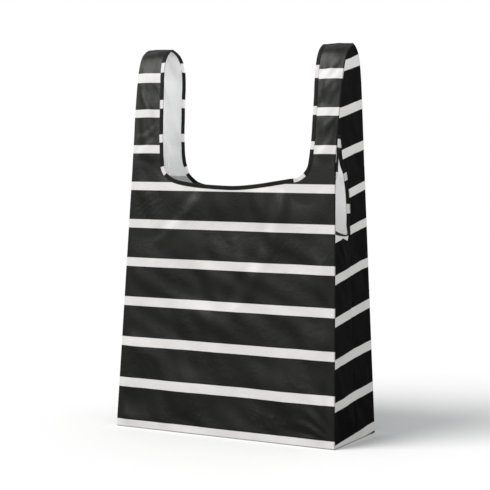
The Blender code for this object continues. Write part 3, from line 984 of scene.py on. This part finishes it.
def strap_foot(face, side):
    """Between the panel and the hinge line."""
    name = face + "_" + side
    z = np.linspace(CUT_Z, PIVOT_Z, 8)
    x = SIGN[side] * strap_grid(neck_x(face, side, z) + NECK_LAP, outer_x(side, z), 18)
    z = np.repeat(z[:, None], x.shape[1], 1)
    cloth = sheet("strap_foot_" + name, (0, SIGN[face], 0),
                  (panel_point(face, x, z), stripe_panel(z), x, z))
    follow_root(cloth, face)
    dress(cloth, "striped_fabric", "strap_root_" + name)


def strap_upper(face, side):
    name = face + "_" + side
    near_ridge = STRAP_LENGTH - 0.03
    length = np.concatenate([np.linspace(float(strap_length_at(PIVOT_Z)), near_ridge, 58),
                             np.linspace(near_ridge, STRAP_LENGTH, 22)[1:]])
    z = strap_at(length)[1]
    inner = inner_x(name, z) + NECK_LAP
    inner[0] = neck_x(face, side, PIVOT_Z) + NECK_LAP
    from_middle = strap_grid(inner, outer_x(side, z), 20)
    length = np.repeat(length[:, None], from_middle.shape[1], 1)
    points = strap_point(face, side, from_middle, length)
    points[-1, :, 1] = SIGN[face] * 0.00012
    cloth = sheet("strap_" + name, (0, SIGN[face], 0.2),
                  (points, stripe_strap(length), SIGN[side] * from_middle, HINGE_Z + length))
    follow_handle(cloth, face, side)
    dress(cloth, "striped_fabric", "handle_strap_" + name)


# ------------------------------------------------------------ side panels
# where the slit's tape begins on the cloth, (y, z): down the back branch ...
SLIT_BACK = [
    (-0.0425, 0.4780), (-0.0390, 0.4715), (-0.0352, 0.4600), (-0.0322, 0.4481),
    (-0.0275, 0.4375), (-0.0228, 0.4298), (-0.0163, 0.4211), (-0.0100, 0.4096),
    (-0.0063, 0.4014), (-0.0036, 0.3871), (-0.0020, 0.3723), (-0.0011, 0.3607),
    (-0.0008, 0.3480), (-0.0008, 0.3390)]
# ... then forward along the round bottom
SLIT_FOOT = [
    (-0.0012, 0.3315), (-0.0036, 0.3262), (-0.0088, 0.3230), (-0.0200, 0.3222),
    (-0.0344, 0.3231), (-0.0470, 0.3243), (-0.0560, 0.3256), (-0.0618, 0.3272)]
TIP_Z = SLIT_BACK[0][1]
# the cloth strip between the front corner and the slit's front tape: heights, then widths
STRIP_WIDTH = {
    "left": ([0.328, 0.478], [0.0012, 0.0016]),
    "right": ([0.328, 0.345, 0.365, 0.385, 0.398, 0.407, 0.413, 0.440, 0.478],
              [0.0010, 0.0085, 0.0125, 0.0115, 0.0080, 0.0038, 0.0014, 0.0010, 0.0016]),
}
# how far the strip turns inward from the side's plane: heights, then angles;
# above the right tuck it flares out a little
STRIP_ANGLE = {
    "left": ([0.328, 0.478], [0.04, 0.02]),
    "right": ([0.328, 0.338, 0.360, 0.395, 0.404, 0.411, 0.418, 0.430, 0.460, 0.478],
              [0.75, 1.20, 1.45, 1.35, 1.10, 0.35, -0.08, -0.12, -0.08, 0.0]),
}


def slit_back(z):
    """y of the tape's inner edge behind the slit at height z."""
    y_up, z_up = np.array(SLIT_BACK[::-1]).T
    return np.interp(z, z_up, y_up)


def slit_bottom(y):
    """Height of the cloth's upper edge in front of the centre seam, under the slit."""
    foot = np.array(SLIT_FOOT[:0:-1])
    return np.interp(y, [-0.09, *foot[:, 0], 0.0], [0.3290, *(foot[:, 1] + 0.0004), 0.3262])


def strip_width(side, z):
    return np.interp(z, *STRIP_WIDTH[side])


def strip_point(side, distance, z):
    """Point on the front strip at a distance from the front corner, turning smoothly."""
    angle = np.interp(z, *STRIP_ANGLE[side])
    angle = np.where(np.abs(angle) < 1e-3, 1e-3, angle)
    turn = 0.0022                         # length of cloth that takes the bend
    rest = np.maximum(distance - turn, 0)
    turned = angle * np.clip(distance, 0, turn) / turn
    along = np.sin(turned) / (angle / turn) + rest * np.cos(angle)
    inward = (1 - np.cos(turned)) / (angle / turn) + rest * np.sin(angle)
    return np.stack([SIGN[side] * (outer_x(side, z) - inward), -corner_y(z) + along, z], -1)


def side_part(side, y, z):
    """Sheet part on a side's plane; z is a grid, or one height for each row."""
    if z.ndim == 1:
        z = np.repeat(z[:, None], y.shape[1], 1)
    return side_point(side, y, z), stripe_side(y, z), y, z


def flap_part(side, z, columns):
    """Between the slit and the centre fold."""
    edge = np.minimum(slit_back(z), -0.0008) - SLIT_LAP
    return side_part(side, edge[:, None] * (1 - np.linspace(0, 1, columns)), z)


def strip_part(side, z, columns):
    """Beside the front corner, up to the slit's front tape."""
    distance = (strip_width(side, z)[:, None] + STRIP_LAP) * np.linspace(0, 1, columns)
    z = np.repeat(z[:, None], columns, 1)
    y = -corner_y(z) + distance
    return strip_point(side, distance, z), stripe_side(y, z), y, z


def side_sheet(name, side, *parts):
    # the gussets take the side copy of the cloth, whose darker black is painted shade
    return sheet(name, (SIGN[side], 0, 0), *parts, material="side_cloth_painted_shade")


def side_panels(side):
    # back half, one cloth from the base to the strap roots
    shares = np.linspace(0, 1, 24)
    z = rows_above_base(PIVOT_Z, np.linspace(0, 1, 120))
    cloth = side_sheet("side_{}_back_cloth".format(side), side,
                       side_part(side, corner_y(z)[:, None] * shares, z))
    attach(cloth, "gusset_{}_back".format(side))
    dress(cloth, "side_fabric", "gusset_{}_back_half".format(side), "corner_tuck_" + side)

    # front half under the slit, and the flap behind the slit
    grid_y, grid_z = [], []
    for share in shares:
        top = 0.326
        for _ in range(20):
            top = 0.5 * top + 0.5 * float(slit_bottom(-corner_y(top) * (1 - share)))
        z = rows_above_base(top, np.linspace(0, 1, 92))
        grid_y.append(-corner_y(z) * (1 - share))
        grid_z.append(z)
    low = side_part(side, np.array(grid_y).T, np.array(grid_z).T)
    flap = flap_part(side, np.linspace(0.3266, PIVOT_Z, 50), 9)
    cloth = side_sheet("side_{}_front_cloth".format(side), side, low, flap)
    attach(cloth, "gusset_{}_front".format(side))
    dress(cloth, "side_fabric", "gusset_{}_front_half".format(side), "slit_flap_" + side)

    strip = side_sheet("slit_strip_{}".format(side), side,
                       strip_part(side, np.linspace(0.3285, PIVOT_Z, 44), 9))
    follow_tuck(strip, side)
    dress(strip, "side_fabric")


def handle_rows(bottom, count):
    """Heights up a handle's side, closer together below the ridge."""
    return np.concatenate([np.linspace(bottom, 0.59, count),
                           np.linspace(0.59, TOP_Z - 0.0022, 16)[1:]])


def handle_sides(side):
    # back half
    z = handle_rows(PIVOT_Z, 50)
    half = np.maximum(corner_y(z), 0.0006)
    web = side_sheet("handle_web_back_" + side, side,
                     side_part(side, half[:, None] * np.linspace(0, 1, 20), z))
    follow_fold(web)
    dress(web, "side_fabric", "handle_side_back_" + side)

    # front half: full cloth above the slit's tip, strip and flap beside it
    z = handle_rows(TIP_Z, 40)
    half = np.maximum(corner_y(z), 0.0006)
    tip_y = float(slit_back(TIP_Z)) - SLIT_LAP
    cut = np.maximum(tip_y * half / float(corner_y(TIP_Z)), -half + 0.0001)
    before_cut = -half[:, None] + (cut + half)[:, None] * np.linspace(0, 1, 5)
    behind_cut = cut[:, None] * (1 - np.linspace(0, 1, 16)[1:])
    upper = side_part(side, np.concatenate([before_cut, behind_cut], 1), z)
    z = np.linspace(PIVOT_Z, TIP_Z, 20)
    web = side_sheet("handle_web_front_" + side, side, upper, strip_part(side, z, 5),
                     flap_part(side, z, 14))
    follow_fold(web)
    dress(web, "side_fabric", "handle_side_front_" + side)


# ------------------------------------------------------------ slit tapes
# inward tilt of the back branch's tape: heights, then angles
BACK_TILT = ([0.36, 0.39, 0.408, 0.424, 0.436, 0.450, 0.460, 0.470, 0.478],
             [0.80, 0.70, 0.56, 0.48, 0.60, 0.55, 0.40, 0.22, 0.10])
# tilt and share of full width round the bottom: distances past the back branch, then values
FOOT_TILT = ([0.0, 0.006, 0.014, 0.022, 0.045, 0.075], [0.80, 0.70, 0.80, 0.85, 0.40, 0.12])
FOOT_WIDTH = ([0.0, 0.006, 0.014, 0.022, 0.045, 0.062, 0.078],
              [1.0, 0.92, 0.62, 0.38, 0.58, 0.80, 0.90])
# width share of the front branch, and the stripe counts on both: heights, then values
FRONT_WIDTH = ([0.3290, 0.337, 0.466, 0.478], [0.7, 1, 1, 0.8])
BACK_STRIPE = ([0.3300, 0.3664, 0.4162, 0.4655, 0.4780], [2.5, 2.0, 1.0, 0.0, -0.22])
FRONT_STRIPE = ([0.3290, 0.385, 0.4158, 0.4655, 0.4780], [1.52, 1.50, 1.0, 0.0, -0.22])


def slit_back_branch(side):
    """Rim, directions, stripe, width and heights of the tape down the back and round the foot."""
    sign = SIGN[side]
    line, arc = smooth_path(SLIT_BACK + SLIT_FOOT, 0.0013)
    y, z = line[:, 0], line[:, 1]
    travel = unit(np.gradient(line, axis=0))
    open_y, open_z = travel[:, 1], -travel[:, 0]        # into the opening
    foot = arc - float(np.interp(-SLIT_BACK[-1][1], -z, arc))
    tilt = np.where(foot > 0, np.interp(foot, *FOOT_TILT), np.interp(z, *BACK_TILT))
    width = np.where(foot > 0, np.interp(foot, *FOOT_WIDTH), 1.0)
    start = np.stack([sign * (outer_x(side, z) + dent_side(side, y, z)), y, z], 1)
    toward = np.stack([-sign * np.sin(tilt), open_y * np.cos(tilt), open_z * np.cos(tilt)], 1)
    normal = np.stack([sign * np.cos(tilt), open_y * np.sin(tilt), open_z * np.sin(tilt)], 1)
    rim = start + toward * (TAPE_WIDTH * width)[:, None]
    stripe = np.where(foot > 0, 2.5, np.interp(z, *BACK_STRIPE))
    return rim, -toward, normal, stripe, width, z


def slit_front_branch(side):
    """The same for the tape from the bottom corner up to the tip."""
    z = np.linspace(0.3290, TIP_Z, 84)
    strip = strip_width(side, z)
    start = strip_point(side, strip, z)
    rim = strip_point(side, strip + TAPE_WIDTH * np.interp(z, *FRONT_WIDTH), z)
    toward = unit(rim - start)
    normal = unit(np.cross(toward, unit(np.gradient(start, axis=0))))
    normal = normal * np.sign(normal @ np.array([SIGN[side], 0.3, 0.0]))[:, None]
    return rim, -toward, normal, np.interp(z, *FRONT_STRIPE), np.ones(len(z)), z


def slit_tape(side):
    """Folded tape round the slit, each branch parted at the pivot height."""
    for branch, course, overlap in (("back", slit_back_branch(side), 0.0012),
                                    ("front", slit_front_branch(side), 0.003)):
        z = course[-1]
        for level, keep in (("lower", z <= PIVOT_Z), ("upper", z >= PIVOT_Z - overlap)):
            sewn = sewn_tape("slit_tape_{}_{}_{}".format(branch, side, level),
                             *(values[keep] for values in course[:-1]))
            for piece in sewn:
                if level == "upper":
                    follow_fold(piece)
                elif branch == "front":
                    follow_tuck(piece, side)
                else:
                    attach(piece, "gusset_{}_front".format(side))
                dress(piece, "binding_tape")
            if level == "lower":
                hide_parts("slit_binding_{}_{}".format(side, branch))


# ------------------------------------------------------------ bound edges of the mouth
# heights of stripes 1 to 4 on the tape of each strap
DASH_Z = {"front_left": [0.5891, 0.5293, 0.4734, 0.4221],
          "front_right": [0.5733, 0.5158, 0.4621, 0.4136],
          "back_left": [0.5931, 0.5336, 0.4763, 0.4219],
          "back_right": [0.5800, 0.5220, 0.4680, 0.4150]}
PLAIN_STRIPE = 4.45                       # the unstriped stretch along the neckline
PLAIN_HALF = {"front": 0.095, "back": 0.080}


def stripe_by_height(z, heights, counts):
    """Stripe count interpolated over falling heights."""
    return np.interp(-z, -np.array(heights), counts)


def mouth_strap_tape(face, side):
    """From the ridge down to the hinge line."""
    name = face + "_" + side
    length = np.linspace(STRAP_LENGTH, float(strap_length_at(PIVOT_Z)), 130)
    _, z, out_y, out_z = strap_at(length)
    x = inner_x(name, z)
    x[-1] = neck_x(face, side, PIVOT_Z)
    path = strap_point(face, side, x, length)
    path[0, 1] = 0.0
    inward = strap_point(face, side, x + TAPE_WIDTH, length) - path
    inward[0, 1] = 0.0
    into, normal = tape_axes(path, inward, np.stack([0 * x, SIGN[face] * out_y, out_z], 1))
    # square on at the ridge
    normal[0] = (0, 0, 1)
    into[0] = (SIGN[side], 0, 0)
    stripe = stripe_by_height(z, [TOP_Z, *DASH_Z[name], 0.398], [0.56, 1, 2, 3, 4, 4.42])
    sewn = sewn_tape("mouth_tape_upper_" + name, path, into, normal, stripe)
    for piece in sewn:
        follow_handle(piece, face, side)
        dress(piece, "binding_tape")
    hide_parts("handle_binding_" + name)


def neck_tape(face, line, name):
    """Tape along a stretch of the neckline, (x, z)."""
    arc = arc_length(line)
    even = np.linspace(0, arc[-1], max(6, int(arc[-1] / 0.0020)))
    x, z = np.interp(even, arc, line[:, 0]), np.interp(even, arc, line[:, 1])
    # directions come from the whole neckline, so that neighbours meet without a step
    neck = NECKS[face]
    travel = unit(np.gradient(neck, axis=0))
    nearest = np.argmin((neck[:, 0] - x[:, None]) ** 2 + (neck[:, 1] - z[:, None]) ** 2, axis=1)
    travel = travel[nearest]
    path = panel_point(face, x, z)
    below = panel_point(face, x + travel[:, 1] * TAPE_WIDTH, z - travel[:, 0] * TAPE_WIDTH)
    into, normal = tape_axes(path, below - path, np.array([0, SIGN[face], 0]))
    left, right = (stripe_by_height(z, [*DASH_Z[face + side][2:], 0.404], [3, 4, PLAIN_STRIPE])
                   for side in ("_left", "_right"))
    stripe = np.where(np.abs(x) < PLAIN_HALF[face], PLAIN_STRIPE, np.where(x < 0, left, right))
    return sewn_tape(name, path, into, normal, stripe)


def mouth_edge(face):
    for side in ("left", "right"):
        name = face + "_" + side
        mouth_strap_tape(face, side)
        corner = neck_corner(face, side)
        z = corner[:, 1]
        corner = corner[(z >= CUT_Z - 0.0006) & (z <= PIVOT_Z + 0.0006)]
        sewn = neck_tape(face, corner, "mouth_tape_foot_" + name)
        for piece in sewn:
            follow_root(piece, face)
            dress(piece, "binding_tape")
        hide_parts("strap_root_binding_" + name)
    neck = NECKS[face]
    sewn = neck_tape(face, neck[neck[:, 1] <= CUT_Z + 0.0006], "neck_tape_" + face)
    for piece in sewn:
        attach(piece, face)
        dress(piece, "binding_tape")
    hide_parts("neck_binding_" + face)


# ------------------------------------------------------------ ridges, base and inner tapes
def ridge(side):
    """Cloth band over the ridge where front and back straps meet, with two stitch rows."""
    sign = SIGN[side]
    offsets = np.concatenate([np.linspace(-0.0066, -0.0012, 8), np.linspace(-0.0006, 0.0006, 3),
                              np.linspace(0.0012, 0.0066, 8)])
    crest = np.abs(offsets) < 0.0007
    length = STRAP_LENGTH - np.abs(offsets)
    y, z, out_y, out_z = strap_at(length)
    out_y = np.where(crest, 0.0, np.where(offsets < 0, -1.0, 1.0) * out_y)
    out_z = np.where(crest, 1.0, out_z)
    y = np.where(offsets < 0, -1.0, 1.0) * y
    lift = 0.00042 + 0.00055 * np.exp(-(offsets / 0.0010) ** 2)
    lift = lift - 0.0003 * smooth(0.0054, 0.0066, np.abs(offsets))
    shares = np.linspace(0, 1, 22)
    rows = []
    for i, offset in enumerate(offsets):
        face = "front" if offset < 0 else "back"
        inner, outer = float(inner_x(face + "_" + side, z[i])), float(outer_x(side, z[i]))
        x = sign * ((inner - 0.0003) + (outer - 0.0013 - inner) * shares)
        # the crest takes the back strap's dents all through
        if crest[i]:
            dent = dent_strap("back", side, x, np.full(len(x), STRAP_LENGTH - 0.0008))
        else:
            dent = dent_strap(face, side, x, np.full(len(x), length[i]))
        off = lift[i] + dent
        rows.append(np.stack([x, y[i] + out_y[i] * off, z[i] + out_z[i] * off], 1))
    points = np.array(rows)
    along = np.repeat(offsets[:, None], len(shares), 1)
    band = sheet("handle_ridge_" + side, (0, 0, 1),
                 (points, np.full(along.shape, 9.5), points[..., 0], along), thickness=0.00034)
    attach(band, "handle_back_" + side)
    dress(band, "binding_tape", "handle_top_seam_" + side)
    for face in ("front", "back"):
        i = int(np.argmin(np.abs(offsets - SIGN[face] * 0.0052)))
        path = points[i][1:-1]
        normal = np.tile([0, float(out_y[i]), float(out_z[i])], (len(path), 1))
        into = unit(np.cross(normal, unit(np.gradient(path, axis=0))))
        seam = stitches("ridge_stitch_{}_{}".format(side, face), path, into, normal,
                        np.full(len(path), 9.5), offset=0.0, heights=(0.00004,))
        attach(seam, "handle_back_" + side)
        dress(seam, "binding_tape")


def base_half(face):
    clearance = 0.00002
    edge_x, edge_y = HALF_WIDTH - ROLL, HALF_DEPTH - ROLL
    x, from_middle = np.meshgrid(np.linspace(-edge_x, edge_x, 90), np.linspace(0, edge_y, 22))
    y = SIGN[face] * from_middle
    hold = smooth(0, 0.012, edge_y - from_middle) * smooth(0, 0.012, edge_x - np.abs(x))
    rise = hold * (0.0006 + 0.0005 * Waves(91, 0.06)(x, y)) * smooth(0.0, 0.006, from_middle)
    z = np.maximum(clearance + rise, clearance)
    stripe = -(HALF_DEPTH - from_middle) / 0.07
    cloth = sheet("base_{}_cloth".format(face), (0, 0, -1),
                  (np.stack([x, y, z], -1), stripe, x, y))
    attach(cloth, "base_" + face)
    dress(cloth, "striped_fabric", "base_{}_half".format(face))


# half of the flat tape's section: across, height
FLAT_TAPE = mirrored([(0.0, 0.00022), (0.0010, 0.0003), (0.0040, 0.0003), (0.0050, 0.00022)])


def inner_tape(side):
    """Flat tape inside the gusset, just behind its centre seam."""
    z = np.linspace(0.090, 0.316, 80)
    x = outer_x(side, z) + dent_side(side, np.full(len(z), 0.0028), z) - CLOTH - 0.0003
    path = np.stack([SIGN[side] * x, np.full(len(z), 0.0006), z], 1)
    tape = sweep("centre_tape_" + side, path, into=np.tile([0, 1.0, 0], (len(z), 1)),
                 normal=np.tile([SIGN[side], 0, 0], (len(z), 1)),
                 stripe=np.full(len(z), 0.5), profile=FLAT_TAPE, lift=-0.0003)
    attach(tape, "gusset_{}_back".format(side))
    dress(tape, "binding_tape", "centre_seam_tape_" + side)


for face in ("front", "back"):
    panel(face)
    base_half(face)
    mouth_edge(face)
    for side in ("right", "left"):
        strap_foot(face, side)
        strap_upper(face, side)
for side in ("right", "left"):
    side_panels(side)
    handle_sides(side)
    slit_tape(side)
    ridge(side)
    inner_tape(side)


# ------------------------------------------------------------ stage, light, camera
scene = bpy.context.scene


def place_object(name, data):
    item = bpy.data.objects.new(name, data)
    scene.collection.objects.link(item)
    return item


def aim(item, direction):
    item.rotation_euler = Vector(direction).to_track_quat("-Z", "Y").to_euler()


def floor_sweep():
    """White floor to the camera, mid grey as it lights the bag."""
    z = -0.0004
    mesh = bpy.data.meshes.new("floor")
    mesh.from_pydata([(-9, -9, z), (9, -9, z), (9, 12, z), (-9, 12, z)], [], [(0, 1, 2, 3)])
    floor = place_object("floor", mesh)
    material = bpy.data.materials.new("floor")
    material.use_nodes = True
    tree = material.node_tree
    surface = tree.nodes["Principled BSDF"]
    path = tree.nodes.new("ShaderNodeLightPath")
    tone = tree.nodes.new("ShaderNodeMix")
    tone.data_type = "RGBA"
    tone.inputs[6].default_value = (0.26, 0.26, 0.26, 1)
    tone.inputs[7].default_value = (1.0, 1.0, 1.0, 1)
    tree.links.new(path.outputs["Is Camera Ray"], tone.inputs[0])
    tree.links.new(tone.outputs[2], surface.inputs["Base Color"])
    surface.inputs["Roughness"].default_value = 0.8
    surface.inputs["Specular IOR Level"].default_value = 0.0
    mesh.materials.append(material)


def studio_world():
    """Pure white to the camera, a softer cool white as light."""
    world = bpy.data.worlds.new("studio")
    scene.world = world
    world.use_nodes = True
    tree = world.node_tree
    tree.nodes.clear()
    output = tree.nodes.new("ShaderNodeOutputWorld")
    mix = tree.nodes.new("ShaderNodeMixShader")
    path = tree.nodes.new("ShaderNodeLightPath")
    tree.links.new(path.outputs["Is Camera Ray"], mix.inputs[0])
    seen = ((1, 1, 1, 1), 1.0)
    lit = ((0.98, 0.99, 1.0, 1), 0.52)
    for socket, (colour, strength) in ((2, seen), (1, lit)):
        background = tree.nodes.new("ShaderNodeBackground")
        background.inputs[0].default_value = colour
        background.inputs[1].default_value = strength
        tree.links.new(background.outputs[0], mix.inputs[socket])
    tree.links.new(mix.outputs[0], output.inputs[0])


def key_sun():
    sun = bpy.data.lights.new("key", "SUN")
    sun.energy = 2.45
    sun.angle = math.radians(38)
    sun.color = (1.0, 0.992, 0.98)
    aim(place_object("key", sun), (0.47, 0.60, -0.65))


def area_lamp(name, energy, size, location, target):
    light = bpy.data.lights.new(name, "AREA")
    light.energy = energy
    light.shape = "RECTANGLE"
    light.size, light.size_y = size
    lamp = place_object(name, light)
    lamp.location = location
    aim(lamp, Vector(target) - lamp.location)
    return lamp


def light_only(lamp, side, prefixes):
    """Hides the lamp and lets it light only one side's pieces with these names."""
    lamp.visible_camera = False
    lit_pieces = bpy.data.collections.new(lamp.name + "_lit")
    for name, piece in pieces.items():
        if side in name and name.startswith(prefixes):
            lit_pieces.objects.link(piece)
    lamp.light_linking.receiver_collection = lit_pieces


def lamps():
    key_sun()
    area_lamp("front_soft", energy=5, size=(1.2, 1.6), location=(-0.95, -2.6, 0.85),
              target=(0, 0, 0.28))
    mouth_fill = area_lamp("mouth_fill", energy=0.72, size=(0.12, 0.16),
                           location=(0.03, -0.17, 0.60), target=(-0.165, 0.04, 0.48))
    light_only(mouth_fill, "left",
               ("handle_web", "strap_back", "strap_foot_back", "side_left",
                "mouth_tape_upper_back", "mouth_tape_foot_back"))
    side_fill = area_lamp("side_fill", energy=5.2, size=(0.45, 0.45),
                          location=(1.00, -0.30, 1.10), target=(0.18, 0.0, 0.50))
    light_only(side_fill, "right",
               ("handle_web", "side_right", "slit_tape", "slit_stitch", "slit_strip"))


def camera():
    """A little above mid height, turned to the bag's right front corner."""
    yaw, pitch, roll = math.radians(27.75), math.radians(3.36), math.radians(0.47)
    forward = Vector((-math.sin(yaw) * math.cos(pitch), math.cos(yaw) * math.cos(pitch),
                      -math.sin(pitch)))
    level = Vector((math.cos(yaw), math.sin(yaw), 0))
    upright = level.cross(forward)
    right = level * math.cos(roll) + upright * math.sin(roll)
    up = -level * math.sin(roll) + upright * math.cos(roll)
    lens = bpy.data.cameras.new("camera")
    lens.sensor_width = 36
    lens.lens = 99.77
    lens.clip_end = 60
    item = place_object("camera", lens)
    turn = Matrix(((right.x, up.x, -forward.x), (right.y, up.y, -forward.y),
                   (right.z, up.z, -forward.z)))
    item.matrix_world = Matrix.Translation(Vector((1.025, -1.952, 0.431))) @ turn.to_4x4()
    scene.camera = item


floor_sweep()
studio_world()
lamps()
camera()
scene.view_settings.view_transform = "Standard"
scene.view_settings.look = "None"
